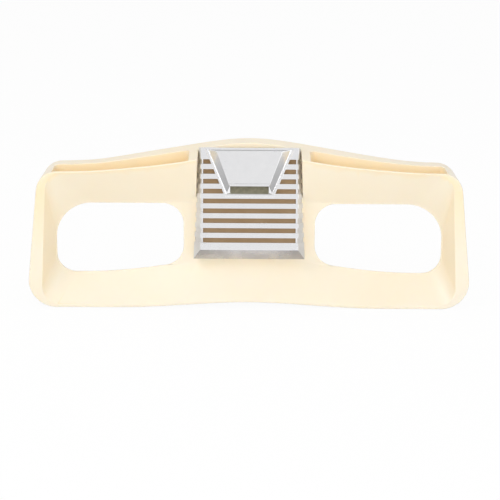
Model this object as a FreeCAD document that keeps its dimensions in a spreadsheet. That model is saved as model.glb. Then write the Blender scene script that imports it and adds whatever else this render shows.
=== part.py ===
import FreeCAD, Part
import math
import os
import re
import Sketcher
from FreeCAD import Placement, Rotation, Vector

# Dashboard fascia of a small car: a cream moulding with two glove-box mouths, a plated louvred
# loudspeaker grille on the pillar between them, and an ashtray drawer in the grille's upper half.
# Millimetres, X to the right, Y to the back, Z up.
# While it is modelled, Y is 0 on the front plane of the moulding and of the grille's bars.

SIZES = {
    # Moulding: outline seen from the front
    "fascia_width": 1010.0,
    "fascia_top_width": 942.0,
    "fascia_depth": 120.0,
    "fascia_draft": 3.0,
    "wall_thick": 4.0,
    "low_corner_radius": 62.0,
    "high_corner_radius": 48.0,
    "floor_rise": 14.0,
    "rise_half": 300.0,
    "bay_station": 275.0,
    "pillar_station": 125.0,
    "ridge_end_height": 319.0,
    "ridge_bay_height": 327.0,
    "ridge_pillar_height": 347.0,
    "crest_height": 368.0,
    "back_end_drop": 6.0,
    "back_bay_rise": 1.0,
    "back_pillar_rise": 7.0,
    # Moulding: the valley that runs across the front, and the mouths at its back
    "valley_depth": 55.0,
    "valley_lip": 3.0,
    "valley_low_lip": 7.0,
    "valley_side_low": 470.0,
    "valley_side_high": 453.0,
    "valley_radius": 40.0,
    "mouth_outer": 440.0,
    "mouth_inner": 149.0,
    "mouth_top": 234.0,
    "mouth_floor": 65.0,
    "mouth_floor_rise": 38.0,
    "mouth_rise_half": 380.0,
    "mouth_edge": 2.5,
    "mouth_low_radius": 46.0,
    "mouth_high_radius": 84.0,
    "mouth_inner_radius": 48.0,
    # Moulding: troughs behind the ridge
    "ridge_thick": 5.0,
    "trough_inner": 136.0,
    "trough_outer": 440.0,
    "trough_back": 80.0,
    "trough_depth": 30.0,
    "trough_end_radius": 12.0,
    # Moulding: frame that carries the leaning grille, and bosses on the back
    "grille_lean": 12.0,
    "frame_wall": 8.0,
    "frame_length": 32.0,
    "lug_width": 32.0,
    "lug_reach": 11.0,
    "lug_set_back": 5.0,
    "lug_thick": 4.0,
    "boss_x": 460.0,
    "boss_low": 70.0,
    "boss_pitch": 150.0,
    "boss_radius": 10.0,
    "boss_length": 90.0,
    "boss_set_back": 2.0,
    "insert_radius": 4.5,
    "insert_bore": 3.0,
    "insert_length": 14.0,
    # Grille casting
    "grille_half": 110.0,
    "grille_flare": 16.0,
    "grille_top_flare": 4.5,
    "grille_low": 139.0,
    "grille_low_flare": 23.0,
    "grille_top": 368.5,
    "grille_depth": 24.0,
    "grille_skin": 7.0,
    "grille_wall": 2.0,
    "rib_proud": 2.5,
    "slot_low": 160.8,
    "slot_pitch": 22.1,
    "slot_gap": 10.3,
    "slot_half": 104.0,
    "full_slots": 5.0,
    "short_slots": 4.0,
    "seal_thick": 1.5,
    # Surround of the drawer on the grille
    "surround_low": 259.0,
    "surround_high": 365.0,
    "surround_low_half": 55.0,
    "surround_high_half": 99.4,
    "surround_rim": 5.4,
    "surround_proud": 2.0,
    # Drawer front
    "front_gap": 0.6,
    "front_proud": 9.0,
    "plate_low": 283.0,
    "plate_high": 361.0,
    "plate_low_half": 44.0,
    "plate_high_half": 73.0,
    "lip_height": 6.0,
    "lip_proud": 2.0,
    "finger_half": 43.0,
    "finger_foot": 3.0,
    "finger_floor": 1.5,
    # Port in the grille, drawer bin and its housing
    "port_low": 268.0,
    "port_high": 350.0,
    "port_low_half": 47.0,
    "port_high_half": 80.0,
    "bin_gap": 4.0,
    "bin_side_gap": 9.0,
    "bin_length": 72.0,
    "bin_sheet": 1.2,
    "ear_width": 5.0,
    "ear_length": 8.0,
    "runner_height": 9.0,
    "runner_gap": 0.4,
    "runner_stop": 3.5,
    "housing_sheet": 1.5,
    "housing_length": 64.0,
    "housing_flange": 9.0,
    "divider_front": 36.0,
    "divider_height": 22.0,
    "rest_width": 9.0,
    "rest_depth": 6.0,
    "spring_sheet": 0.6,
    "spring_half": 7.0,
    "spring_front": 24.0,
    "spring_length": 40.0,
    "spring_foot": 12.0,
    "spring_gap": 0.4,
    "spring_rivet_radius": 1.5,
    "spring_rivet_head": 3.0,
    "spring_rivet_thick": 1.2,
    "rivet_radius": 2.0,
    "rivet_head": 4.0,
    "rivet_head_thick": 1.6,
    "rivet_reach": 4.0,
    "rivet_half_pitch": 24.0,
    "rivet_height": 312.0,
    "screw_radius": 1.6,
    "screw_head": 3.2,
    "screw_head_thick": 1.8,
    "screw_low": 280.0,
    "screw_high": 338.0,
    # Cloth, baffle board and what clamps them
    "cloth_thick": 0.8,
    "board_thick": 4.0,
    "board_gap": 0.5,
    "speaker_radius": 44.0,
    "speaker_height": 199.0,
    "speaker_pcd": 108.0,
    "speaker_screw_radius": 2.2,
    "stud_radius": 2.5,
    "stud_side_inset": 8.0,
    "stud_low_inset": 5.5,
    "stud_high_inset": 11.0,
    "stud_set": 4.0,
    "stud_gap": 0.3,
    "spacer_radius": 5.0,
    "washer_radius": 6.0,
    "washer_thick": 1.2,
    "nut_flats": 8.0,
    "nut_thick": 4.3,
    "stud_end": 3.0,
}

doc = FreeCAD.newDocument("DashboardFascia")
sheet = doc.addObject("Spreadsheet::Sheet", "Sizes")
for row, (alias, number) in enumerate(SIZES.items(), start=1):
    sheet.set(f"A{row}", alias)
    sheet.set(f"B{row}", str(number))
    sheet.setAlias(f"B{row}", alias)
doc.recompute()

NODES = []

# Depths behind the grille's face, measured square to it
SEAT = "(grille_depth + seal_thick)"
BOARD_FRONT = "(grille_skin + cloth_thick)"
BOARD_BACK = "(grille_skin + cloth_thick + board_thick)"
LUG_FRONT = "(grille_depth + seal_thick + lug_set_back)"
LUG_BACK = "(grille_depth + seal_thick + lug_set_back + lug_thick)"
HOUSING_BACK = "(grille_skin + cloth_thick + board_thick + housing_length)"

# Rim of the grille where it sits on the frame
RIM = "(grille_half + grille_flare)"
RIM_TOP = "(grille_half + grille_top_flare)"
FOOT = "(grille_low - grille_low_flare)"

# A height above the whole part, for cuts that are open at the top
ABOVE = "(2 * crest_height)"

# Edges of the baffle board inside the grille, and the studs near its corners
BOARD_HALF = "(grille_half - grille_wall - rib_proud - board_gap)"
BOARD_LOW = "(grille_low + grille_wall + rib_proud + 2 * board_gap)"
BOARD_HIGH = "(grille_top - grille_wall - rib_proud - board_gap)"
STUD_X = f"({BOARD_HALF} - stud_side_inset)"
STUD_LOW = f"({BOARD_LOW} + stud_low_inset)"
STUD_HIGH = f"({BOARD_HIGH} - stud_high_inset)"
STUD_PLACES = [
    (f"-{STUD_X}", STUD_LOW),
    (STUD_X, STUD_LOW),
    (f"-{STUD_X}", STUD_HIGH),
    (STUD_X, STUD_HIGH),
]
BOSS_PLACES = [
    ("-boss_x", "boss_low"),
    ("boss_x", "boss_low"),
    ("-boss_x", "boss_low + boss_pitch"),
    ("boss_x", "boss_low + boss_pitch"),
]
RIVET_PLACES = [("-rivet_half_pitch", "rivet_height"), ("rivet_half_pitch", "rivet_height")]
SPRING_RIVET = ("0", "spring_front + spring_foot / 2", "spring_rivet_radius")

# Bottom and top of the drawer's bin, and the underside of its ears
BIN_LOW = "(port_low + bin_gap)"
BIN_HIGH = "(port_high - bin_gap)"
EAR_LOW = "(port_high - bin_gap - bin_sheet)"


def size(alias):
    """A size as the sheet holds it."""
    return float(sheet.get(alias))


def bind(thing, prop, formula):
    """Bind a property to a formula whose words are names on the sheet."""
    words = re.sub(r"[a-z]\w*_\w+", lambda found: "Sizes." + found.group(0), formula)
    thing.setExpression(prop, words)


def lean(thing, set_back="0"):
    """Lean an upright object back with the grille, about the foot of the grille's face."""
    thing.Placement = Placement(Vector(), Rotation(Vector(-1, 0, 0), size("grille_lean")))
    bind(thing, "Placement.Rotation.Angle", "grille_lean * 1deg")
    bind(thing, "Placement.Base.y", f"-grille_low * sin(grille_lean * 1deg) - ({set_back})")
    bind(thing, "Placement.Base.z", "grille_low * (1 - cos(grille_lean * 1deg))")
    return thing


def node(thing, label, leaning=True):
    """Make an object a sub-part: its label names its file, and it is set about the part's middle."""
    thing.Label = label
    if leaning:
        lean(thing, "fascia_depth / 2")
    else:
        bind(thing, "Placement.Base.y", "-fascia_depth / 2")
    NODES.append(thing)


# Sketches and features


def new_body(name):
    return doc.addObject("PartDesign::Body", name)


def blank_sketch(body, name, role, offset):
    """A sketch on one of the body's own planes, moved along the plane's normal by a formula."""
    sketch = body.newObject("Sketcher::SketchObject", name)
    plane = [item for item in body.Origin.OriginFeatures if item.Role == role][0]
    sketch.AttachmentSupport = (plane, [""])
    sketch.MapMode = "FlatFace"
    bind(sketch, "AttachmentOffset.Base.z", offset)
    return sketch


def tie_point(sketch, geometry, point, across, up):
    """Hold a point of a sketch at two formulas, measured from the sketch's origin."""
    for kind, formula in (("DistanceX", across), ("DistanceY", up)):
        index = sketch.addConstraint(Sketcher.Constraint(kind, -1, 1, geometry, point, 1.0))
        bind(sketch, f"Constraints[{index}]", formula)


def draw_polygon(sketch, corners):
    """Draw a closed polygon whose corners are pairs of formulas."""
    first = sketch.GeometryCount
    count = len(corners)
    turns = [2 * math.pi * step / count for step in range(count + 1)]
    start = [Vector(math.cos(turn), math.sin(turn), 0) for turn in turns]
    for step in range(count):
        sketch.addGeometry(Part.LineSegment(start[step], start[step + 1]), False)
    for step in range(count):
        following = first + (step + 1) % count
        sketch.addConstraint(Sketcher.Constraint("Coincident", first + step, 2, following, 1))
    for step, (across, up) in enumerate(corners):
        tie_point(sketch, first + step, 1, across, up)


def draw_circle(sketch, across, up, radius):
    """Draw a circle whose centre and radius are formulas."""
    index = sketch.addGeometry(Part.Circle(Vector(0, 0, 0), Vector(0, 0, 1), 1.0), False)
    tie_point(sketch, index, 3, across, up)
    held = sketch.addConstraint(Sketcher.Constraint("Radius", index, 1.0))
    bind(sketch, f"Constraints[{held}]", radius)


def front_sketch(body, name, y_from, polygons=(), circles=()):
    """A sketch seen from the front, on the plane at depth y_from."""
    sketch = blank_sketch(body, name + "Sketch", "XZ_Plane", f"-({y_from})")
    for corners in polygons:
        draw_polygon(sketch, corners)
    for circle in circles:
        draw_circle(sketch, *circle)
    return sketch


def pad(body, name, y_from, y_to, polygons=(), circles=()):
    """Add material between two depths."""
    feature = body.newObject("PartDesign::Pad", name)
    feature.Profile = front_sketch(body, name, y_from, polygons, circles)
    feature.Reversed = True
    bind(feature, "Length", f"({y_to}) - ({y_from})")
    return feature


def drill_down(body, name, z_from, z_to, circle):
    """Drill a hole downwards between two heights."""
    sketch = blank_sketch(body, name + "Sketch", "XY_Plane", z_from)
    draw_circle(sketch, *circle)
    feature = body.newObject("PartDesign::Pocket", name)
    feature.Profile = sketch
    bind(feature, "Length", f"({z_from}) - ({z_to})")
    return feature


def pocket(body, name, y_from, y_to, polygons=(), circles=()):
    """Take material away between two depths."""
    feature = body.newObject("PartDesign::Pocket", name)
    feature.Profile = front_sketch(body, name, y_from, polygons, circles)
    bind(feature, "Length", f"({y_to}) - ({y_from})")
    return feature


def symmetric(low, high, low_half, high_half):
    """Corners of a trapezoid that is symmetrical about the middle."""
    return [
        (f"-({low_half})", low),
        (low_half, low),
        (high_half, high),
        (f"-({high_half})", high),
    ]


def half_at(height, low, high, low_half, high_half):
    """Formula of a trapezoid's half width at a height."""
    return f"({low_half} + (({height}) - {low}) * ({high_half} - {low_half}) / ({high} - {low}))"


# Primitives and booleans


def box(name, x_from, x_to, y_from, y_to, z_from, z_to):
    block = doc.addObject("Part::Box", name)
    for prop, start, end in (
        ("x", x_from, x_to),
        ("y", y_from, y_to),
        ("z", z_from, z_to),
    ):
        bind(block, f"Placement.Base.{prop}", start)
        length = {"x": "Length", "y": "Width", "z": "Height"}[prop]
        bind(block, length, f"({end}) - ({start})")
    return block


def rod(name, radius, x, y_from, y_to, z):
    """A round bar that runs from front to back."""
    bar = doc.addObject("Part::Cylinder", name)
    bar.Placement = Placement(Vector(), Rotation(Vector(1, 0, 0), -90))
    bind(bar, "Radius", radius)
    bind(bar, "Height", f"({y_to}) - ({y_from})")
    bind(bar, "Placement.Base.x", x)
    bind(bar, "Placement.Base.y", y_from)
    bind(bar, "Placement.Base.z", z)
    return bar


def pin(name, radius, x, y, z_from, z_to):
    """A round bar that stands upright."""
    bar = doc.addObject("Part::Cylinder", name)
    bind(bar, "Radius", radius)
    bind(bar, "Height", f"({z_to}) - ({z_from})")
    bind(bar, "Placement.Base.x", x)
    bind(bar, "Placement.Base.y", y)
    bind(bar, "Placement.Base.z", z_from)
    return bar


def hex_bar(name, flats, x, y_from, y_to, z):
    """A six-sided bar that runs from front to back."""
    bar = doc.addObject("Part::Prism", name)
    bar.Polygon = 6
    bar.Placement = Placement(Vector(), Rotation(Vector(1, 0, 0), -90))
    bind(bar, "Circumradius", f"({flats}) / sqrt(3)")
    bind(bar, "Height", f"({y_to}) - ({y_from})")
    bind(bar, "Placement.Base.x", x)
    bind(bar, "Placement.Base.y", y_from)
    bind(bar, "Placement.Base.z", z)
    return bar


def fuse(name, shapes):
    joined = doc.addObject("Part::MultiFuse", name)
    joined.Shapes = shapes
    joined.Refine = True
    return joined


def cut(name, base, tool):
    left_over = doc.addObject("Part::Cut", name)
    left_over.Base = base
    left_over.Tool = tool
    left_over.Refine = True
    return left_over


def common(name, one, other):
    shared = doc.addObject("Part::Common", name)
    shared.Base = one
    shared.Tool = other
    return shared


def group(name, solids):
    """Separate solids of one kind in one sub-part."""
    kept = doc.addObject("Part::Compound", name)
    kept.Links = solids
    return kept


def freeform(name, shape):
    """A shape with free curves, made from the sheet's sizes by the functions below."""
    feature = doc.addObject("Part::Feature", name)
    feature.Shape = shape
    return feature


# Fascia moulding


def line(start, end):
    return Part.LineSegment(start, end).toShape()


def spline(points):
    """A smooth curve through points, level at both ends."""
    along = Vector(points[-1].x - points[0].x, 0, 0).normalize()
    curve = Part.BSplineCurve()
    curve.interpolate(Points=points, InitialTangent=along, FinalTangent=along)
    return curve.toShape()


def round_corner(before, corner, after, radius):
    """The start, middle and end of an arc that rounds a corner between two straight runs."""
    back = (before - corner).normalize()
    ahead = (after - corner).normalize()
    half = back.getAngle(ahead) / 2
    inward = (back + ahead).normalize()
    reach = radius / math.tan(half)
    middle = corner + inward * (radius / math.sin(half) - radius)
    return corner + back * reach, middle, corner + ahead * reach


def outline(y, halves, floor, rise, top, radii):
    """A closed outline seen from the front: a floor that rises softly in the middle, leaning sides,
    a curved top and four round corners. halves and radii are low and high ones, rise is the height
    and half width of the floor's swell, and top is the height at the corners, then x and z of points
    from the right side to the middle."""
    level, *crown = top
    swell, swell_half = rise
    low = Vector(halves[0], y, floor)
    high = Vector(halves[1], y, level)
    low_arc = round_corner(Vector(0, y, floor), low, high, radii[0])
    high_arc = round_corner(low, high, Vector(0, y, level), radii[1])

    def across(point):
        return Vector(-point.x, point.y, point.z)

    floor_end = Vector(swell_half, y, floor)
    right = [high_arc[2]] + [Vector(x, y, z) for x, z in crown]
    left = [across(point) for point in right[-2::-1]]
    edges = [
        spline([across(floor_end), Vector(0, y, floor + swell), floor_end]),
        line(floor_end, low_arc[0]),
        Part.Arc(*low_arc).toShape(),
        line(low_arc[2], high_arc[0]),
        Part.Arc(*high_arc).toShape(),
        spline(right + left),
        Part.Arc(*[across(point) for point in high_arc[::-1]]).toShape(),
        line(across(high_arc[0]), across(low_arc[2])),
        Part.Arc(*[across(point) for point in low_arc[::-1]]).toShape(),
        line(across(low_arc[0]), across(floor_end)),
    ]
    return Part.Wire(edges)


def ridge_line(drop):
    """The top of the front, from the corner to the middle, lowered by a drop."""
    return [
        size("ridge_end_height") - drop,
        (size("bay_station"), size("ridge_bay_height") - drop),
        (size("pillar_station"), size("ridge_pillar_height") - drop),
        (0, size("crest_height") - drop),
    ]


def back_line(drop):
    """The top of the back, from the corner to the middle, lowered by a drop."""
    return [
        size("ridge_end_height") - size("back_end_drop") - drop,
        (size("bay_station"), size("ridge_bay_height") + size("back_bay_rise") - drop),
        (size("pillar_station"), size("ridge_pillar_height") + size("back_pillar_rise") - drop),
        (0, size("crest_height") - drop),
    ]


def level_line(height):
    """A level top, with the same points as the curved ones."""
    return [height] + [(x, height) for x in (size("bay_station"), size("pillar_station"), 0)]


def moulding_block(inset, y_from, y_to):
    """The outer form of the moulding, or the space inside its walls when it is inset."""
    low_half = size("fascia_width") / 2 - inset
    high_half = size("fascia_top_width") / 2 - inset
    draft = size("fascia_draft")
    rise = (size("floor_rise"), size("rise_half"))
    radii = (size("low_corner_radius") - inset, size("high_corner_radius") - inset)
    front = outline(y_from, (low_half, high_half), inset, rise, ridge_line(inset), radii)
    back_halves = (low_half - draft, high_half - draft)
    back = outline(y_to, back_halves, inset, rise, back_line(inset), radii)
    return Part.makeLoft([front, back], True, True)


def valley_block(outset):
    """The valley across the front, or the valley with its walls when it is outset."""
    front = outline(
        0,
        (size("valley_side_low") + outset, size("valley_side_high") + outset),
        size("valley_low_lip") - outset,
        (size("floor_rise"), size("rise_half")),
        ridge_line(size("valley_lip") - outset),
        [size("valley_radius") + outset] * 2,
    )
    return Part.makeLoft([front, mouth_outline(size("valley_depth") + outset, outset)], True, True)


def mouth_outline(y, outset):
    """The outline round both mouths at the back of the valley."""
    return outline(
        y,
        [size("mouth_outer") + outset] * 2,
        size("mouth_floor") - outset,
        (size("mouth_floor_rise"), size("mouth_rise_half")),
        level_line(size("mouth_top") + outset),
        (size("mouth_low_radius") + outset, size("mouth_high_radius") + outset),
    )


def corner_edges(solid, x_near, direction):
    """The straight edges of a solid that run along a direction near a place across the front."""
    found = []
    for edge in solid.Edges:
        run = edge.lastVertex().Point - edge.firstVertex().Point
        if run.Length > 0 and abs(run.normalize().dot(direction)) > 0.99:
            if abs(edge.CenterOfMass.x - x_near) < 1.0:
                found.append(edge)
    return found


def mouth_block(side):
    """One glove-box mouth, cut through the wall at the back of the valley."""
    front_y = size("valley_depth") - size("wall_thick")
    back_y = size("fascia_depth") + size("wall_thick")
    both = Part.Face(mouth_outline(front_y, -size("mouth_edge"))).extrude(Vector(0, back_y - front_y, 0))
    reach = size("fascia_width")
    start = size("mouth_inner") if side > 0 else -size("mouth_inner") - reach
    mouth = both.common(Part.makeBox(reach, reach, reach, Vector(start, 0, 0))).Solids[0]
    inner = corner_edges(mouth, side * size("mouth_inner"), Vector(0, 1, 0))
    return mouth.makeFillet(size("mouth_inner_radius"), inner)


def trough_block(side, outset):
    """The trough behind one half of the ridge, or the trough with its walls when it is outset."""
    y_from = size("ridge_thick") - outset
    y_to = size("trough_back") + outset
    drop = size("trough_depth") + outset
    inner = size("trough_inner") - outset
    outer = size("trough_outer") + outset
    floor = [
        Vector(side * inner, y_from, size("ridge_pillar_height") - drop),
        Vector(side * size("bay_station"), y_from, size("ridge_bay_height") - drop),
        Vector(side * outer, y_from, size("ridge_end_height") - drop),
    ]
    above = size("crest_height") + drop
    edges = [
        spline(floor),
        line(floor[-1], Vector(side * outer, y_from, above)),
        line(Vector(side * outer, y_from, above), Vector(side * inner, y_from, above)),
        line(Vector(side * inner, y_from, above), floor[0]),
    ]
    block = Part.Face(Part.Wire(edges)).extrude(Vector(0, y_to - y_from, 0))
    ends = [
        edge
        for x in (inner, outer)
        for edge in corner_edges(block, side * x, Vector(0, 0, 1))
        if edge.CenterOfMass.y > y_to - 1.0
    ]
    return block.makeFillet(size("trough_end_radius") + outset, ends)


def build_moulding():
    wall = size("wall_thick")
    depth = size("fascia_depth")
    outer = freeform("MouldingForm", moulding_block(0, 0, depth))
    valley = freeform("ValleyForm", valley_block(0))
    walled_valley = valley_block(wall)
    hollow = moulding_block(wall, wall, depth + wall).cut(walled_valley)
    troughs = []
    for side in (-1, 1):
        hollow = hollow.cut(trough_block(side, wall))
        troughs.append(trough_block(side, 0).cut(walled_valley))
    cavity = freeform("BackHollow", hollow)
    mouths = freeform("MouthForms", Part.makeCompound([mouth_block(-1), mouth_block(1)]))
    trough_forms = freeform("TroughForms", Part.makeCompound(troughs))
    shell = cut("OpenShell", outer, fuse("ShellCuts", [cavity, valley, mouths, trough_forms]))

    bosses = [
        rod(f"Boss{index}", "boss_radius", x, "fascia_depth - boss_set_back - boss_length",
            "fascia_depth - boss_set_back", z)
        for index, (x, z) in enumerate(BOSS_PLACES)
    ]
    limit = freeform("BossLimit", valley_block(0))
    boss_stock = cut("BossStock", fuse("Bosses", bosses), limit)
    frame = common("GrilleFrame", grille_frame(), freeform("FrameLimit", moulding_block(0, 0, depth)))
    walls = freeform("CheekLimit", moulding_block(0, 0, depth).cut(valley_block(0)))
    cheeks = common("GrilleCheeks", grille_cheeks(), walls)
    stock = fuse("MouldingStock", [shell, boss_stock, frame, cheeks])
    opened = cut("OpenMoulding", stock, grille_opening())
    lugged = fuse("LuggedMoulding", [opened, grille_lugs()])
    holes = [
        rod(f"InsertHole{index}", "insert_radius", x,
            "fascia_depth - boss_set_back - insert_length", "fascia_depth", z)
        for index, (x, z) in enumerate(BOSS_PLACES)
    ]
    stud_holes = [
        rod(f"LugHole{index}", "stud_radius + stud_gap", x, SEAT, LUG_BACK, z)
        for index, (x, z) in enumerate(STUD_PLACES)
    ]
    drilled = cut("DrilledMoulding", lugged, fuse("InsertHoles", holes))
    finished = cut("FasciaMoulding", drilled, lean(fuse("LugHoles", stud_holes)))
    node(finished, "fascia_moulding", leaning=False)


def rim_half(height, outset="0"):
    """Half width of the grille's rim at a height, moved out."""
    taper = f"({RIM} - {RIM_TOP}) / (grille_top - {FOOT})"
    return f"({RIM} + ({outset}) - (({height}) - {FOOT}) * {taper})"


def rim_block(name, y_from, y_to, low, high, outset):
    """A block with the slanted sides of the grille's rim, moved out on both sides."""
    body = new_body(name)
    corners = symmetric(low, high, rim_half(low, outset), rim_half(high, outset))
    pad(body, name + "Pad", y_from, y_to, [corners])
    return body


def grille_frame():
    """The block behind the grille that its rim sits on, before it is opened."""
    return lean(rim_block("FrameStock", SEAT, f"{SEAT} + frame_length", FOOT, ABOVE, "0"))


def grille_cheeks():
    """Stock on both sides of the grille that closes the hollow ends of the ridge."""
    back = f"{SEAT} + frame_length"
    return lean(rim_block("CheekStock", "-fascia_depth", back, FOOT, ABOVE, "front_gap + wall_thick"))


def grille_opening():
    """What is cleared for the grille in front of the frame, and the way through the frame."""
    notch = rim_block("GrilleNotch", "-fascia_depth", SEAT, FOOT, ABOVE, "front_gap")
    way = rim_block("FrameOpening", "0", f"{SEAT} + 2 * frame_length", f"{FOOT} + frame_wall",
                    "grille_top - frame_wall", "-frame_wall")
    return lean(fuse("GrilleClearance", [notch, way]))


def grille_lugs():
    """Four lugs in the corners of the frame, which the grille's studs pass through."""
    lugs = []
    for row, low, high in (
        ("Low", f"{FOOT} + frame_wall / 2", f"{STUD_LOW} + lug_width / 2"),
        ("High", f"{STUD_HIGH} - lug_width / 2", "grille_top - frame_wall / 2"),
    ):
        root = rim_half(high, "-frame_wall / 2")
        tip = f"({STUD_X} - lug_reach)"
        for side, start, end in (("Left", f"-{root}", f"-{tip}"), ("Right", tip, root)):
            lugs.append(box(f"Lug{side}{row}", start, end, LUG_FRONT, LUG_BACK, low, high))
    return lean(fuse("GrilleLugs", lugs))


def build_inserts():
    """Brass threaded inserts in the four bosses."""
    front = "fascia_depth - boss_set_back - insert_length"
    back = "fascia_depth - boss_set_back"
    sleeves = []
    for index, (x, z) in enumerate(BOSS_PLACES):
        sleeve = rod(f"InsertSleeve{index}", "insert_radius", x, front, back, z)
        bore = rod(f"InsertBore{index}", "insert_bore", x, front, back, z)
        sleeves.append(cut(f"Insert{index}", sleeve, bore))
    node(group("BossInserts", sleeves), "boss_inserts", leaning=False)


# Grille, upright while it is modelled


def surround_half(height):
    """Half width of the drawer's surround at a height."""
    return half_at(height, "surround_low", "surround_high", "surround_low_half", "surround_high_half")


def port_half(height):
    """Half width of the port behind the drawer front at a height."""
    return half_at(height, "port_low", "port_high", "port_low_half", "port_high_half")


def grille_cap(name, shrink, y_front):
    """The bevelled cap of the grille, shrunk on all outer sides."""
    body = new_body(name)
    high = f"(grille_top - ({shrink}))"
    face_half = f"(grille_half - ({shrink}))"
    face = symmetric(f"(grille_low + ({shrink}))", high, face_half, face_half)
    rim_low = f"({FOOT} + ({shrink}))"
    rim = symmetric(rim_low, high, rim_half(rim_low, f"-({shrink})"), rim_half(high, f"-({shrink})"))
    loft = body.newObject("PartDesign::AdditiveLoft", name + "Loft")
    loft.Profile = front_sketch(body, name + "Face", y_front, [face])
    loft.Sections = [front_sketch(body, name + "Rim", "grille_depth", [rim])]
    loft.Ruled = True
    return body


def build_grille():
    """One casting: a bevelled cap, bars that run on over its sides as ribs, and the drawer's surround."""
    rows = int(size("full_slots") + size("short_slots"))
    grooves, slots = [], []
    for row in range(rows):
        low = f"(slot_low + {row} * slot_pitch - slot_gap / 2)"
        high = f"(slot_low + {row} * slot_pitch + slot_gap / 2)"
        grooves.append(box(f"Groove{row}", f"-2 * {RIM}", f"2 * {RIM}",
                           "-grille_depth", "2 * grille_depth", low, high))
        if row < size("full_slots"):
            slots.append(box(f"Slot{row}", "-slot_half", "slot_half",
                             "-grille_depth", "grille_depth", low, high))
        else:
            slots += short_slots(row, low, high)
    bars = cut("Bars", grille_cap("BarCap", "0", "0"), fuse("Grooves", grooves))
    cap = fuse("RibbedCap", [bars, grille_cap("RailCap", "rib_proud", "rib_proud")])
    hollow = grille_cap("CapHollow", "grille_wall + rib_proud", "grille_skin")
    surround = new_body("Surround")
    rim = symmetric("surround_low", "surround_high", "surround_low_half", "surround_high_half")
    pad(surround, "SurroundPad", "-surround_proud", "grille_skin", [rim])
    inside = symmetric(
        "surround_low + surround_rim",
        "surround_high + surround_rim",
        f"{surround_half('surround_low + surround_rim')} - surround_rim",
        f"{surround_half('surround_high + surround_rim')} - surround_rim",
    )
    pocket(surround, "SurroundSeat", "-surround_proud", "0", [inside])
    solid = fuse("GrilleStock", [cut("OpenCap", cap, fuse("CapCuts", [hollow] + slots)), surround])
    port = new_body("GrillePort")
    pad(port, "GrillePortPad", "-grille_skin", "grille_depth",
        [symmetric("port_low", "port_high", "port_low_half", "port_high_half")])
    sockets = [
        rod(f"StudSocket{index}", "stud_radius", x, "grille_skin - stud_set", "grille_skin", z)
        for index, (x, z) in enumerate(STUD_PLACES)
    ]
    casting = cut("GrilleCasting", solid, fuse("GrilleCuts", [port] + sockets))
    node(casting, "grille_casting")


def short_slots(row, low, high):
    """The two short slots of a row that the drawer's surround interrupts."""
    pair = []
    for side, sign in (("Left", "-"), ("Right", "")):
        body = new_body(f"ShortSlot{side}{row}")
        corners = [
            (f"{sign}slot_half", low),
            (f"{sign}{surround_half(low)}", low),
            (f"{sign}{surround_half(high)}", high),
            (f"{sign}slot_half", high),
        ]
        pad(body, f"ShortSlotPad{side}{row}", "-grille_depth", "grille_depth", [corners])
        pair.append(body)
    return pair


def build_seal():
    """Felt strip between the grille's rim and the frame."""
    body = new_body("GrilleSeal")
    rings = []
    for inset in ("rib_proud", "(grille_wall + rib_proud)"):
        low = f"({FOOT} + {inset})"
        high = f"(grille_top - {inset})"
        rings.append(symmetric(low, high, rim_half(low, f"-{inset}"), rim_half(high, f"-{inset}")))
    pad(body, "SealPad", "grille_depth", SEAT, rings)
    node(body, "grille_seal")


def board_outline():
    return symmetric(BOARD_LOW, BOARD_HIGH, BOARD_HALF, BOARD_HALF)


def port_outline():
    return symmetric("port_low", "port_high", "port_low_half", "port_high_half")


def stud_circles(gap):
    return [(x, z, f"stud_radius + {gap}") for x, z in STUD_PLACES]


def build_cloth():
    body = new_body("GrilleCloth")
    pad(body, "ClothPad", "grille_skin", BOARD_FRONT, [board_outline(), port_outline()],
        stud_circles("stud_gap"))
    node(body, "grille_cloth")


def build_board():
    """Hardboard baffle with the loudspeaker's cut-out, its screw holes and the drawer's port."""
    body = new_body("BaffleBoard")
    circles = stud_circles("stud_gap") + [("0", "speaker_height", "speaker_radius")]
    spread = "speaker_pcd / 2 * sqrt(0.5)"
    for across in ("-1", "1"):
        for up in ("-1", "1"):
            centre = (f"{across} * {spread}", f"speaker_height + {up} * {spread}")
            circles.append((*centre, "speaker_screw_radius"))
    circles += [(x, z, "screw_radius") for x, z in screw_places()]
    pad(body, "BoardPad", BOARD_FRONT, BOARD_BACK, [board_outline(), port_outline()], circles)
    node(body, "baffle_board")


def build_stud_stack():
    """Studs in the grille, spacer tubes behind the board, and washers and nuts behind the lugs."""
    washer_back = f"({LUG_BACK} + washer_thick)"
    nut_back = f"({washer_back} + nut_thick)"
    studs, spacers, washers, nuts = [], [], [], []
    for index, (x, z) in enumerate(STUD_PLACES):
        stud_back = f"{nut_back} + stud_end"
        studs.append(rod(f"Stud{index}", "stud_radius", x, "grille_skin - stud_set", stud_back, z))
        spacer = rod(f"SpacerStock{index}", "spacer_radius", x, BOARD_BACK, LUG_FRONT, z)
        spacer_hole = rod(f"SpacerHole{index}", "stud_radius + stud_gap", x, BOARD_BACK, LUG_FRONT, z)
        spacers.append(cut(f"Spacer{index}", spacer, spacer_hole))
        washer = rod(f"WasherStock{index}", "washer_radius", x, LUG_BACK, washer_back, z)
        washer_hole = rod(f"WasherHole{index}", "stud_radius + stud_gap", x, LUG_BACK, washer_back, z)
        washers.append(cut(f"Washer{index}", washer, washer_hole))
        nut = hex_bar(f"NutStock{index}", "nut_flats", x, washer_back, nut_back, z)
        nut_hole = rod(f"NutHole{index}", "stud_radius", x, washer_back, nut_back, z)
        nuts.append(cut(f"Nut{index}", nut, nut_hole))
    node(group("GrilleStuds", studs), "grille_studs")
    node(group("GrilleSpacers", spacers), "grille_spacers")
    node(group("GrilleWashers", washers), "grille_washers")
    node(group("GrilleNuts", nuts), "grille_nuts")


# Ashtray drawer, upright and shut while it is modelled


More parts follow.
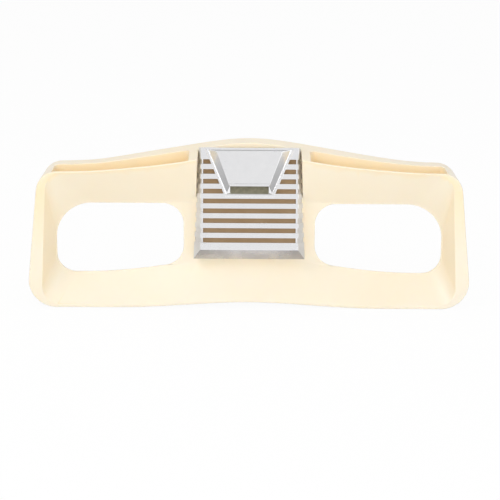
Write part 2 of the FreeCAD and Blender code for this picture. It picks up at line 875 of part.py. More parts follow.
def bin_half(height):
    """Half width of the bin's outside at a height."""
    return f"({port_half(height)} - bin_side_gap)"


def build_drawer_front():
    """Trapezoid front with a raised plate, bevelled edges, and a finger lip over a finger hollow."""
    gap = "(surround_rim + front_gap)"
    low = f"(surround_low + {gap})"
    high = "(surround_high - front_gap)"
    base = symmetric(low, high, f"{surround_half(low)} - {gap}", f"{surround_half(high)} - {gap}")
    plate = symmetric("plate_low", "plate_high", "plate_low_half", "plate_high_half")
    body = new_body("AshtrayFront")
    loft = body.newObject("PartDesign::AdditiveLoft", "FrontBevel")
    loft.Profile = front_sketch(body, "FrontBase", "0", [base])
    loft.Sections = [front_sketch(body, "FrontPlate", "-front_proud", [plate])]
    loft.Ruled = True
    lip_high = "(plate_low + lip_height)"
    lip_half = half_at(lip_high, "plate_low", "plate_high", "plate_low_half", "plate_high_half")
    lip = symmetric("plate_low", lip_high, "plate_low_half", lip_half)
    pad(body, "FingerLip", "-front_proud - lip_proud", "-front_proud / 2", [lip])
    hollow = symmetric(f"{low} + finger_foot", "plate_low", "finger_half", "finger_half")
    pocket(body, "FingerHollow", "-front_proud - lip_proud", "-finger_floor", [hollow])
    holes = [(x, z, "rivet_radius") for x, z in RIVET_PLACES]
    pocket(body, "RivetHoles", "-rivet_reach", "0", [], holes)
    node(body, "ashtray_front")


def build_bin():
    """Pressed bin, open at the top, with an ear on each side at the back that runs in a runner."""
    body = new_body("AshtrayBin")
    pad(body, "BinBlock", "0", "bin_length",
        [symmetric(BIN_LOW, BIN_HIGH, bin_half(BIN_LOW), bin_half(BIN_HIGH))])
    floor = f"({BIN_LOW} + bin_sheet)"
    above = f"({BIN_HIGH} + bin_gap)"
    pocket(body, "BinHollow", "bin_sheet", "bin_length - bin_sheet",
           [symmetric(floor, above, f"{bin_half(floor)} - bin_sheet", f"{bin_half(above)} - bin_sheet")])
    for side, sign in (("Left", "-"), ("Right", "")):
        wall = f"{sign}({bin_half(BIN_HIGH)} - bin_sheet / 2)"
        tip = f"{sign}({bin_half(BIN_HIGH)} + ear_width)"
        ear = [(wall, EAR_LOW), (tip, EAR_LOW), (tip, BIN_HIGH), (wall, BIN_HIGH)]
        pad(body, f"Ear{side}", "bin_length - ear_length", "bin_length", [ear])
    holes = [(x, z, "rivet_radius") for x, z in RIVET_PLACES]
    pocket(body, "BinRivetHoles", "0", "bin_sheet", [], holes)
    node(body, "ashtray_bin")


def build_rivets():
    """Rivets that hold the bin to the drawer front, closed inside the bin."""
    rivets = []
    for index, (x, z) in enumerate(RIVET_PLACES):
        shank = rod(f"RivetShank{index}", "rivet_radius", x, "-rivet_reach", "bin_sheet", z)
        head = rod(f"RivetHead{index}", "rivet_head", x, "bin_sheet", "bin_sheet + rivet_head_thick", z)
        rivets.append(fuse(f"Rivet{index}", [shank, head]))
    node(group("FrontRivets", rivets), "front_rivets")


def build_divider():
    """Stubbing plate across the bin, with two rests cut into its upper edge."""
    body = new_body("StubbingPlate")
    low = f"({BIN_HIGH} - divider_height)"
    pad(body, "PlateBlock", "divider_front", "divider_front + bin_sheet",
        [symmetric(low, BIN_HIGH, f"{bin_half(low)} - bin_sheet", f"{bin_half(BIN_HIGH)} - bin_sheet")])
    rests = []
    for across in ("-1", "1"):
        middle = f"{across} * rivet_half_pitch"
        rests.append([
            (f"{middle} - rest_width / 2", f"{BIN_HIGH} - rest_depth"),
            (f"{middle} + rest_width / 2", f"{BIN_HIGH} - rest_depth"),
            (f"{middle} + rest_width / 2", f"{BIN_HIGH} + rest_depth"),
            (f"{middle} - rest_width / 2", f"{BIN_HIGH} + rest_depth"),
        ])
    pocket(body, "Rests", "divider_front", "divider_front + bin_sheet", rests)
    node(body, "stubbing_plate")


def build_housing():
    """Sheet steel housing behind the board that the bin slides in, with a flange screwed to the board."""
    body = new_body("AshtrayHousing")
    outer_low = "(port_low - housing_sheet)"
    outer_high = "(port_high + housing_sheet)"
    outer = symmetric(outer_low, outer_high, f"{port_half(outer_low)} + housing_sheet",
                      f"{port_half(outer_high)} + housing_sheet")
    flange_low = "(port_low - housing_flange)"
    flange = symmetric(flange_low, outer_high, f"{port_half(flange_low)} + housing_flange",
                       f"{port_half(outer_high)} + housing_flange")
    pad(body, "HousingBlock", BOARD_BACK, HOUSING_BACK, [outer])
    pad(body, "HousingFlange", BOARD_BACK, f"{BOARD_BACK} + housing_sheet", [flange])
    pocket(body, "HousingHollow", BOARD_BACK, f"{HOUSING_BACK} - housing_sheet", [port_outline()])
    pocket(body, "FlangeHoles", BOARD_BACK, f"{BOARD_BACK} + housing_sheet", [],
           [(x, z, "screw_radius") for x, z in screw_places()])
    drill_down(body, "SpringHole", "port_low", "port_low - housing_sheet", SPRING_RIVET)
    node(body, "ashtray_housing")


def screw_places():
    """The middle of the housing's flange on both sides, at two heights."""
    reach = "(housing_sheet + housing_flange) / 2"
    places = []
    for height in ("screw_low", "screw_high"):
        for sign in ("-", ""):
            places.append((f"{sign}({port_half(height)} + {reach})", height))
    return places


def build_screws():
    back = f"{BOARD_BACK} + housing_sheet"
    screws = []
    for index, (x, z) in enumerate(screw_places()):
        shank = rod(f"ScrewShank{index}", "screw_radius", x, BOARD_FRONT, back, z)
        head = rod(f"ScrewHead{index}", "screw_head", x, back, f"{back} + screw_head_thick", z)
        screws.append(fuse(f"Screw{index}", [shank, head]))
    node(group("HousingScrews", screws), "housing_screws")


def build_runners():
    """Runners on the housing's sides, each with a groove for one of the bin's ears. The groove is
    shut at the front, so that the ears stop there and the drawer can't be pulled right out."""
    middle = "(port_high - bin_gap - bin_sheet / 2)"
    low = f"({middle} - runner_height / 2)"
    groove_low = f"({EAR_LOW} - runner_gap)"
    groove_high = f"({BIN_HIGH} + runner_gap)"
    high = "port_high"
    back = f"({HOUSING_BACK} - housing_sheet)"
    inner = f"({bin_half(BIN_HIGH)} + runner_gap)"
    bottom = f"({bin_half(BIN_HIGH)} + ear_width + runner_gap)"
    for side, sign in (("Left", "-"), ("Right", "")):
        section = [
            (f"{sign}{inner}", low),
            (f"{sign}{port_half(low)}", low),
            (f"{sign}{port_half(high)}", high),
            (f"{sign}{inner}", high),
        ]
        groove = [
            (f"{sign}({inner} - runner_gap)", groove_low),
            (f"{sign}{bottom}", groove_low),
            (f"{sign}{bottom}", groove_high),
            (f"{sign}({inner} - runner_gap)", groove_high),
        ]
        body = new_body(f"Runner{side}")
        pad(body, f"RunnerPad{side}", BOARD_BACK, back, [section])
        pocket(body, f"RunnerGroove{side}", f"{BOARD_BACK} + runner_stop", back, [groove])
        node(body, f"ashtray_runner_{side.lower()}")


def build_spring():
    """Bowed leaf spring on the housing's floor that holds the bin where it is left."""
    body = new_body("AshtraySpring")
    sketch = blank_sketch(body, "SpringSketch", "YZ_Plane", "-spring_half")
    foot_end = "(spring_front + spring_foot)"
    crown = "(spring_front + spring_foot + (spring_length - spring_foot) / 2)"
    tail = "(spring_front + spring_length)"
    crown_top = f"({BIN_LOW} - spring_gap)"
    draw_polygon(sketch, [
        ("spring_front", "port_low"),
        (foot_end, "port_low"),
        (crown, f"{crown_top} - spring_sheet"),
        (tail, "port_low"),
        (tail, "port_low + spring_sheet"),
        (crown, crown_top),
        (foot_end, "port_low + spring_sheet"),
        ("spring_front", "port_low + spring_sheet"),
    ])
    strip = body.newObject("PartDesign::Pad", "SpringStrip")
    strip.Profile = sketch
    bind(strip, "Length", "2 * spring_half")
    drill_down(body, "FootHole", "port_low + spring_sheet", "port_low", SPRING_RIVET)
    node(body, "ashtray_spring")


def build_spring_rivet():
    """Rivet that holds the spring's foot to the housing's floor."""
    x, y, radius = SPRING_RIVET
    low = "(port_low - housing_sheet)"
    high = "(port_low + spring_sheet)"
    solids = [
        pin("SpringShank", radius, x, y, low, high),
        pin("SpringHeadLow", "spring_rivet_head", x, y, f"{low} - spring_rivet_thick", low),
        pin("SpringHeadHigh", "spring_rivet_head", x, y, high, f"{high} + spring_rivet_thick"),
    ]
    node(fuse("SpringRivet", solids), "spring_rivet")


build_moulding()
build_inserts()
build_grille()
build_seal()
build_cloth()
build_board()
build_stud_stack()
build_drawer_front()
build_bin()
build_rivets()
build_divider()
build_housing()
build_screws()
build_runners()
build_spring()
build_spring_rivet()
doc.recompute()

for thing in doc.Objects:
    if {"Invalid", "Error"} & set(thing.State):
        raise RuntimeError(f"{thing.Name} did not build: {thing.State}")
for thing in NODES:
    if thing.Shape.isNull() or not thing.Shape.isValid():
        raise RuntimeError(f"{thing.Label} has no valid shape")

os.makedirs("parts", exist_ok=True)
for thing in NODES:
    thing.Shape.exportStep(f"parts/{thing.Label}.step")
    print(thing.Label, len(thing.Shape.Solids), "solids", round(thing.Shape.Volume / 1000, 2), "cm3")
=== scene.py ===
import math

import bmesh
import bpy
from bpy.props import FloatProperty, FloatVectorProperty, IntProperty, PointerProperty
from mathutils import Matrix, Vector
from mathutils.bvhtree import BVHTree
from mathutils.kdtree import KDTree


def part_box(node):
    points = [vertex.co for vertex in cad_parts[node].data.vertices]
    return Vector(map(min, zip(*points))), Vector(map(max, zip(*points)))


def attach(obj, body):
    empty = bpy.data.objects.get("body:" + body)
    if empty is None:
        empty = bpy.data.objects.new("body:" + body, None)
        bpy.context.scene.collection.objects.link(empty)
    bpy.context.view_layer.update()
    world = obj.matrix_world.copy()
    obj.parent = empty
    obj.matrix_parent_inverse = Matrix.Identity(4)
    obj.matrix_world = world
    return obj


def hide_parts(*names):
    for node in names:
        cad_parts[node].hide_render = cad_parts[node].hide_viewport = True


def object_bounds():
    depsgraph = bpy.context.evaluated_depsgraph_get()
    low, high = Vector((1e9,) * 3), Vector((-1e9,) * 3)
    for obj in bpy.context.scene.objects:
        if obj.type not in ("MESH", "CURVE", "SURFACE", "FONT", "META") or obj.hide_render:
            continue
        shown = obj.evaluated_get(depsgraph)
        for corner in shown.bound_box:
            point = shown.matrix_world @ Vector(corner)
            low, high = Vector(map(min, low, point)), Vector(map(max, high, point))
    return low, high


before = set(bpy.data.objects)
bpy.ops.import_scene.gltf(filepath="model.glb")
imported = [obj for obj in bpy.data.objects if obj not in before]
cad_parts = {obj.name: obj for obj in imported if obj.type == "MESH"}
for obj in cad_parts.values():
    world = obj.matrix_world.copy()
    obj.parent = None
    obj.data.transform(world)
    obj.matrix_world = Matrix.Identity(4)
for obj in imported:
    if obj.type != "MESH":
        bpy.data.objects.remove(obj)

bl_info = {
    "name": "Dashboard Fascia",
    "version": (1, 0, 0),
    "blender": (4, 5, 0),
    "location": "View3D > Sidebar > Fascia",
    "description": "Finishes a dashboard fascia with a loudspeaker grille and an ashtray drawer",
    "category": "Object",
}

CAD_BOX = [list(corner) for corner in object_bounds()]
FOOT = Vector((0.0, -0.060, 0.139))
UPRIGHT_FOOT = Vector((0.0, 0.0, 0.139))
LEAN = math.radians(-12.0)
# From the grille as it is drawn, upright, to its place, leaning back about its foot
LEANING = (
    Matrix.Translation(FOOT)
    @ Matrix.Rotation(LEAN, 4, "X")
    @ Matrix.Translation(-UPRIGHT_FOOT)
)
UPRIGHT = LEANING.inverted()
SHELL = "fascia"
DRAWER = "ashtray"


# Sizes and colours


class MouldingSettings(bpy.types.PropertyGroup):
    """Finish of the cream moulding"""

    edge: FloatProperty(
        name="Edge Radius",
        description="Widest rounding on the moulding's plain edges",
        default=0.0025,
        unit="LENGTH",
    )
    rim_edge: FloatProperty(
        name="Rim Edge Radius",
        description="Widest rounding on both edges of the front rim",
        default=0.013,
        unit="LENGTH",
    )
    notch_edge: FloatProperty(
        name="Notch Edge Radius",
        description="Widest rounding on the moulding's edges beside the grille",
        default=0.007,
        unit="LENGTH",
    )
    share: FloatProperty(
        name="Share of Wall",
        description="Most of a wall's width that the rounding of one edge takes",
        default=0.44,
        min=0.1,
        max=0.48,
    )
    segments: IntProperty(
        name="Edge Segments",
        description="Facets across each rounded edge",
        default=4,
        min=1,
    )
    cream: FloatVectorProperty(
        name="Cream",
        description="Colour of the moulding where it is clean",
        subtype="COLOR",
        size=4,
        default=(0.945, 0.865, 0.715, 1.0),
    )
    # painted shade: this colour also stands in for the warmer shade towards the top, besides the yellowed
    # blotches
    aged_and_shaded: FloatVectorProperty(
        name="Aged and Shaded Cream",
        description="Colour of the moulding painted warmer towards the top as shade, and yellowed in blotches",
        subtype="COLOR",
        size=4,
        default=(0.935, 0.79, 0.56, 1.0),
    )
    # painted shade: this colour stands in for the warm shade deep in the troughs and on inward-facing walls
    trough_shade: FloatVectorProperty(
        name="Painted Trough Shade",
        description="Colour of the moulding deep in the troughs",
        subtype="COLOR",
        size=4,
        default=(0.97, 0.765, 0.455, 1.0),
    )


class GrilleSettings(bpy.types.PropertyGroup):
    """Finish of the plated grille and of the drawer's front"""

    edge: FloatProperty(
        name="Edge Radius",
        description="Width of the rounding on the plated edges",
        default=0.0007,
        unit="LENGTH",
    )
    plating: FloatVectorProperty(
        name="Plating",
        description="Colour of the bright plating",
        subtype="COLOR",
        size=4,
        default=(0.97, 0.97, 0.98, 1.0),
    )
    dulled: FloatVectorProperty(
        name="Dulled Plating",
        description="Colour of the plating where it is dull and pitted",
        subtype="COLOR",
        size=4,
        default=(0.91, 0.91, 0.925, 1.0),
    )


class ClothSettings(bpy.types.PropertyGroup):
    """Cloth behind the grille's slots"""

    width: FloatProperty(
        name="Width", description="Width of the cut cloth", default=0.2092, unit="LENGTH"
    )
    height: FloatProperty(
        name="Height", description="Height of the cut cloth", default=0.2182, unit="LENGTH"
    )
    thickness: FloatProperty(
        name="Thickness", description="Thickness of the cloth", default=0.0006, unit="LENGTH"
    )
    thread: FloatProperty(
        name="Thread Pitch", description="Distance between threads", default=0.0016, unit="LENGTH"
    )
    warp: FloatVectorProperty(
        name="Warp",
        description="Colour of the upright threads",
        subtype="COLOR",
        size=4,
        default=(0.40, 0.265, 0.14, 1.0),
    )
    weft: FloatVectorProperty(
        name="Weft",
        description="Colour of the level threads",
        subtype="COLOR",
        size=4,
        default=(0.28, 0.18, 0.092, 1.0),
    )
    faded: FloatVectorProperty(
        name="Faded",
        description="Colour of the cloth where it has faded",
        subtype="COLOR",
        size=4,
        default=(0.42, 0.30, 0.18, 1.0),
    )


class StageSettings(bpy.types.PropertyGroup):
    """Camera, light and floor"""

    distance: FloatProperty(
        name="Distance", description="From the camera to its target", default=4.0, unit="LENGTH"
    )
    elevation: FloatProperty(
        name="Elevation",
        description="Height of the camera above the level",
        default=math.radians(18.0),
        subtype="ANGLE",
    )
    roll: FloatProperty(
        name="Roll",
        description="Turn of the camera about its own axis",
        default=math.radians(0.35),
        subtype="ANGLE",
    )
    view_width: FloatProperty(
        name="View Width",
        description="Width that the picture spans at the target",
        default=1.1415,
        unit="LENGTH",
    )
    target: FloatVectorProperty(
        name="Target",
        description="Point in the middle of the picture",
        subtype="XYZ",
        unit="LENGTH",
        default=(0.002, 0.0, 0.1197),
    )


class FasciaSettings(bpy.types.PropertyGroup):
    """All the settings of the fascia"""

    moulding: PointerProperty(type=MouldingSettings)
    grille: PointerProperty(type=GrilleSettings)
    cloth: PointerProperty(type=ClothSettings)
    stage: PointerProperty(type=StageSettings)


# Modelling helpers


MERGE_WITHIN = 0.00002
SLIVER = 0.00001
FLAT = math.radians(1.0)
ANY_SHAPE = math.radians(180.0)
SAME_PLANE = 0.0002
NOTCH_OUTSIDE, NOTCH_INSIDE = 0.002, 0.016
EVENING_ROUNDS = 6
# Edges run side by side when the cosine between them is over this
SIDE_BY_SIDE = 0.75
SEARCH = 1.5
RAY_LIFT, RAY_REACH = 0.0004, 0.09


def deselect_all():
    """Leave nothing selected and no mode open."""
    if bpy.context.object and bpy.context.object.mode != "OBJECT":
        bpy.ops.object.mode_set(mode="OBJECT")
    bpy.ops.object.select_all(action="DESELECT")


def pick(thing):
    """Make one object the selected and active one."""
    deselect_all()
    thing.select_set(True)
    bpy.context.view_layer.objects.active = thing


def copy_of_node(node, name):
    """A merged copy of a solid, with its flat facets joined in pairs."""
    pick(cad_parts[node])
    bpy.ops.object.duplicate()
    piece = bpy.context.view_layer.objects.active
    piece.name = name
    piece.data.name = name
    piece.parent = None
    for key in list(piece.keys()):
        del piece[key]
    bpy.ops.object.mode_set(mode="EDIT")
    bpy.ops.mesh.select_all(action="SELECT")
    bpy.ops.mesh.remove_doubles(threshold=MERGE_WITHIN)
    bpy.ops.mesh.beautify_fill(angle_limit=FLAT)
    bpy.ops.mesh.tris_convert_to_quads(face_threshold=FLAT, shape_threshold=ANY_SHAPE)
    bpy.ops.object.mode_set(mode="OBJECT")
    if piece.data.has_custom_normals:
        bpy.ops.mesh.customdata_custom_splitnormals_clear()
    return piece


def drop_slivers():
    """Remove faces without area from the active object, where a rounding runs out to nothing."""
    bpy.ops.object.mode_set(mode="EDIT")
    bpy.ops.mesh.select_all(action="SELECT")
    bpy.ops.mesh.dissolve_degenerate(threshold=SLIVER)
    bpy.ops.object.mode_set(mode="OBJECT")


def soften_edges(piece, width, segments, sharper_than, smooth_under):
    """Round the edges that are sharper than an angle, or the weighed ones if there is no angle,
    and shade the rest smooth."""
    pick(piece)
    rounding = piece.modifiers.new("Edge rounding", "BEVEL")
    rounding.width = width
    rounding.segments = segments
    rounding.limit_method = "ANGLE" if sharper_than else "WEIGHT"
    rounding.angle_limit = math.radians(sharper_than or 0.0)
    rounding.use_clamp_overlap = False
    rounding.miter_outer = "MITER_ARC"
    bpy.ops.object.modifier_apply(modifier=rounding.name)
    if not sharper_than:
        drop_slivers()
    bpy.ops.object.shade_smooth_by_angle(angle=math.radians(smooth_under))
    weighting = piece.modifiers.new("Face weighting", "WEIGHTED_NORMAL")
    weighting.keep_sharp = True
    bpy.ops.object.modifier_apply(modifier=weighting.name)


def chains_of(edges):
    """Number the chains of edges, which end where more than two edges meet."""
    at_vertex = {}
    for edge in edges:
        for vertex in edge.verts:
            at_vertex.setdefault(vertex.index, []).append(edge)
    chain = {}
    for first in edges:
        if first.index in chain:
            continue
        waiting = [first]
        chain[first.index] = first.index
        while waiting:
            for vertex in waiting.pop().verts:
                meeting = at_vertex[vertex.index]
                for edge in meeting if len(meeting) == 2 else []:
                    if edge.index not in chain:
                        chain[edge.index] = first.index
                        waiting.append(edge)
    return chain, at_vertex


def wall_widths(edges, chain, reach):
    """For each edge, the distance to the nearest edge of another chain that runs beside it."""
    tree = KDTree(len(edges))
    spots, runs = [], []
    for number, edge in enumerate(edges):
        start, end = (vertex.co for vertex in edge.verts)
        spots.append((start + end) / 2)
        runs.append((end - start).normalized())
        tree.insert(spots[-1], number)
    tree.balance()
    widths = {}
    for number, edge in enumerate(edges):
        nearest = reach
        for spot, other, _ in tree.find_range(spots[number], SEARCH * reach):
            beside = abs(runs[number].dot(runs[other])) > SIDE_BY_SIDE
            if beside and chain[edges[other].index] != chain[edge.index]:
                away = spot - spots[number]
                nearest = min(nearest, (away - runs[number] * away.dot(runs[number])).length)
        widths[edge.index] = nearest
    return widths


def even_out(widths, edges, at_vertex, rounds):
    """Let the widths change slowly along the edges, and never grow."""
    for _ in range(rounds):
        evened = {}
        for edge in edges:
            beside = [widths[other.index] for vertex in edge.verts for other in at_vertex[vertex.index]]
            evened[edge.index] = min(widths[edge.index], sum(beside) / len(beside))
        widths = evened
    return widths


def beside_grille(spot, corner):
    """Whether a place is on the sides of the notch for the grille, whose low corner is given."""
    across = corner[0] - NOTCH_OUTSIDE < -abs(spot.x) < corner[0] + NOTCH_INSIDE
    return across and spot.y < 0.0 and spot.z > corner[2]


def weigh_edges(piece, settings, sharper_than):
    """Give each sharp edge a bevel weight that suits the wall that it bounds."""
    front = CAD_BOX[0][1]
    grille_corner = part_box("grille_casting")[0]
    mesh = bmesh.new()
    mesh.from_mesh(piece.data)
    layer = mesh.edges.layers.float.new("bevel_weight_edge")
    sharp = [
        edge for edge in mesh.edges
        if len(edge.link_faces) == 2 and edge.calc_face_angle() > math.radians(sharper_than)
    ]
    chain, at_vertex = chains_of(sharp)
    walls = wall_widths(sharp, chain, settings.rim_edge / settings.share)
    widths = {}
    for edge in sharp:
        limit = settings.edge
        if all(abs(vertex.co.y - front) < SAME_PLANE for vertex in edge.verts):
            limit = settings.rim_edge
        elif all(beside_grille(vertex.co, grille_corner) for vertex in edge.verts):
            limit = settings.notch_edge
        widths[edge.index] = min(limit, settings.share * walls[edge.index])
    widths = even_out(widths, sharp, at_vertex, EVENING_ROUNDS)
    for edge in sharp:
        edge[layer] = widths[edge.index] / settings.rim_edge
    mesh.to_mesh(piece.data)
    mesh.free()


def mark_recess_shade(piece, low, rays, inward):
    """Store on each point how much of the sky over it the trough's walls hide, from 0 to 1, or
    elsewhere how far it faces inward: the mask for painted warm shade in the troughs and on inward walls."""
    tree = BVHTree.FromPolygons(
        [vertex.co for vertex in piece.data.vertices], [face.vertices for face in piece.data.polygons]
    )
    sky = Vector((0.0, 0.0, 1.0))
    recess_shade = piece.data.attributes.new("recess_shade", "FLOAT", "POINT")
    for vertex in piece.data.vertices:
        start = vertex.co + vertex.normal * RAY_LIFT
        if vertex.co.z < low or tree.ray_cast(start, sky)[0]:
            facing = -vertex.normal.x * math.copysign(1.0, vertex.co.x)
            recess_shade.data[vertex.index].value = inward * max(0.0, facing)
            continue
        hidden = 0
        for number in range(rays):
            angle = math.pi * (number + 0.5) / rays
            way = Vector((0.0, math.cos(angle), math.sin(angle)))
            hidden += tree.ray_cast(start, way, RAY_REACH)[0] is not None
        recess_shade.data[vertex.index].value = hidden / rays


def dress(thing, material):
    """Give an object one material."""
    thing.data.materials.clear()
    thing.data.materials.append(material)


# Materials


# Heights between which painted warm shade grows towards the top of the cream, how far that goes at the top,
# and how far the cream yellows in blotches
TOP_SHADE_LOW, TOP_SHADE_HIGH = 0.10, 0.31
TOP_SHADE, YELLOW_BLOTCH = 0.30, 0.28
# Share of hidden sky at which the painted trough shade starts and at which it is full
SHADE_FROM, SHADE_FULL = 0.18, 0.72
# Length of one band of a wave texture whose scale is 1
WAVE_LENGTH = 0.314


def new_group(name, inputs, outputs):
    """An empty shader node group with named sockets."""
    tree = bpy.data.node_groups.new(name, "ShaderNodeTree")
    for label, kind, default in inputs:
        socket = tree.interface.new_socket(name=label, in_out="INPUT", socket_type=kind)
        socket.default_value = default
    for label, kind in outputs:
        tree.interface.new_socket(name=label, in_out="OUTPUT", socket_type=kind)
    start = tree.nodes.new("NodeGroupInput")
    end = tree.nodes.new("NodeGroupOutput")
    return tree, start, end


def noise(tree, scale, detail, place):
    """A noise texture on a socket that holds the place."""
    texture = tree.nodes.new("ShaderNodeTexNoise")
    texture.inputs["Scale"].default_value = scale
    texture.inputs["Detail"].default_value = detail
    tree.links.new(place, texture.inputs["Vector"])
    return texture


def spread(tree, value, low, high, to_low, to_high):
    """Map a range of values to another range."""
    node = tree.nodes.new("ShaderNodeMapRange")
    node.inputs["From Min"].default_value = low
    node.inputs["From Max"].default_value = high
    node.inputs["To Min"].default_value = to_low
    node.inputs["To Max"].default_value = to_high
    tree.links.new(value, node.inputs["Value"])
    return node.outputs["Result"]


def blend_colours(tree, factor, one, other):
    """Mix two colours, each a socket or a plain value."""
    node = tree.nodes.new("ShaderNodeMix")
    node.data_type = "RGBA"
    tree.links.new(factor, node.inputs["Factor"])
    for socket, colour in ((node.inputs[6], one), (node.inputs[7], other)):
        if isinstance(colour, bpy.types.NodeSocket):
            tree.links.new(colour, socket)
        else:
            socket.default_value = colour
    return node.outputs[2]


def mottle_group():
    """Two scales of blotches, with a fine grain: a mask and a height."""
    if "Mottle" in bpy.data.node_groups:
        return bpy.data.node_groups["Mottle"]
    tree, start, end = new_group(
        "Mottle",
        [
            ("Blotch Scale", "NodeSocketFloat", 6.0),
            ("Grain Scale", "NodeSocketFloat", 500.0),
        ],
        [("Mask", "NodeSocketFloat"), ("Grain", "NodeSocketFloat")],
    )
    place = tree.nodes.new("ShaderNodeTexCoord").outputs["Object"]
    broad = noise(tree, 6.0, 4.0, place)
    tree.links.new(start.outputs["Blotch Scale"], broad.inputs["Scale"])
    fine = noise(tree, 500.0, 3.0, place)
    tree.links.new(start.outputs["Grain Scale"], fine.inputs["Scale"])
    tree.links.new(spread(tree, broad.outputs["Fac"], 0.35, 0.68, 0.0, 1.0), end.inputs["Mask"])
    tree.links.new(fine.outputs["Fac"], end.inputs["Grain"])
    return tree


def place_mottle(tree, blotch, grain):
    """A mottle group in a material, with its own values."""
    node = tree.nodes.new("ShaderNodeGroup")
    node.node_tree = mottle_group()
    node.inputs["Blotch Scale"].default_value = blotch
    node.inputs["Grain Scale"].default_value = grain
    return node


def bump(tree, shader, height, strength, distance):
    """Raise a surface by a height."""
    node = tree.nodes.new("ShaderNodeBump")
    node.inputs["Strength"].default_value = strength
    node.inputs["Distance"].default_value = distance
    tree.links.new(height, node.inputs["Height"])
    tree.links.new(node.outputs["Normal"], shader.inputs["Normal"])


def new_material(name):
    """A material with only its Principled shader, and that shader."""
    material = bpy.data.materials.new(name)
    material.use_nodes = True
    return material, material.node_tree, material.node_tree.nodes["Principled BSDF"]


def mottled(name, clean, worn, roughness, metallic, blotch, grain, strength, distance):
    """A finish whose colour and gloss change in blotches over a fine grain."""
    if name in bpy.data.materials:
        return bpy.data.materials[name]
    material, tree, shader = new_material(name)
    mottle = place_mottle(tree, blotch, grain)
    colour = blend_colours(tree, mottle.outputs["Mask"], clean, worn)
    tree.links.new(colour, shader.inputs["Base Color"])
    gloss = spread(tree, mottle.outputs["Mask"], 0.0, 1.0, roughness[0], roughness[1])
    tree.links.new(gloss, shader.inputs["Roughness"])
    shader.inputs["Metallic"].default_value = metallic
    bump(tree, shader, mottle.outputs["Grain"], strength, distance)
    return material


def cream_plastic(settings):
    """Cream moulding, painted warmer towards its top and deep in the troughs and on inward walls as shade,
    and yellowed in blotches.
    """
    material, tree, shader = new_material("Cream moulding")
    mottle = place_mottle(tree, blotch=5.0, grain=420.0)
    place = tree.nodes.new("ShaderNodeTexCoord").outputs["Object"]
    parts = tree.nodes.new("ShaderNodeSeparateXYZ")
    tree.links.new(place, parts.inputs["Vector"])
    # painted shade: the cream grows warmer towards the top, standing in for the warm shade on the upper
    # slopes and in the troughs
    height = spread(tree, parts.outputs["Z"], TOP_SHADE_LOW, TOP_SHADE_HIGH, 0.0, TOP_SHADE)
    patch = spread(tree, mottle.outputs["Mask"], 0.0, 1.0, 0.0, YELLOW_BLOTCH)
    shade_and_yellowing = tree.nodes.new("ShaderNodeMath")
    shade_and_yellowing.operation = "ADD"
    tree.links.new(height, shade_and_yellowing.inputs[0])
    tree.links.new(patch, shade_and_yellowing.inputs[1])
    open_colour = blend_colours(tree, shade_and_yellowing.outputs[0], tuple(settings.cream), tuple(settings.aged_and_shaded))
    # painted shade: deep in the troughs and on inward-facing walls the cream turns to the trough shade
    # colour
    recess_shade = tree.nodes.new("ShaderNodeAttribute")
    recess_shade.attribute_name = "recess_shade"
    trough_shade_amount = spread(tree, recess_shade.outputs["Fac"], SHADE_FROM, SHADE_FULL, 0.0, 1.0)
    colour = blend_colours(tree, trough_shade_amount, open_colour, tuple(settings.trough_shade))
    tree.links.new(colour, shader.inputs["Base Color"])
    gloss = spread(tree, mottle.outputs["Mask"], 0.0, 1.0, 0.34, 0.46)
    tree.links.new(gloss, shader.inputs["Roughness"])
    bump(tree, shader, mottle.outputs["Grain"], strength=0.12, distance=0.0004)
    shader.inputs["Subsurface Weight"].default_value = 0.12
    shader.inputs["Subsurface Radius"].default_value = (0.006, 0.004, 0.002)
    shader.inputs["Coat Weight"].default_value = 0.15
    shader.inputs["Coat Roughness"].default_value = 0.25
    return material


def bright_plating(settings):
    """Bright plating on the grille and the drawer's front."""
    return mottled(
        "Bright plating", clean=tuple(settings.plating), worn=tuple(settings.dulled),
        roughness=(0.17, 0.28), metallic=1.0, blotch=28.0, grain=900.0, strength=0.10, distance=0.0002,
    )


def shaded_plating():
    """Darker grey plating on the bevel under the grille, as painted shade where the bevel faces down."""
    return mottled(
        "Plating in painted shade", clean=(0.60, 0.59, 0.61, 1.0), worn=(0.50, 0.49, 0.51, 1.0),
        roughness=(0.22, 0.34), metallic=1.0, blotch=28.0, grain=900.0, strength=0.10, distance=0.0002,
    )


def satin_plating():
    """Plating that was never buffed, on the grille's sides."""
    return mottled(
        "Satin plating", clean=(0.84, 0.83, 0.82, 1.0), worn=(0.74, 0.73, 0.72, 1.0),
        roughness=(0.40, 0.52), metallic=0.35, blotch=28.0, grain=900.0, strength=0.10, distance=0.0002,
    )


def painted_hollow_shade():
    """Dark olive in the finger hollow: painted shade, and painted reflection of the brown cloth and the
    cream.
    """
    return mottled(
        "Olive hollow shade", clean=(0.21, 0.195, 0.13, 1.0), worn=(0.15, 0.14, 0.09, 1.0),
        roughness=(0.50, 0.66), metallic=0.0, blotch=160.0, grain=1200.0, strength=0.3, distance=0.0003,
    )


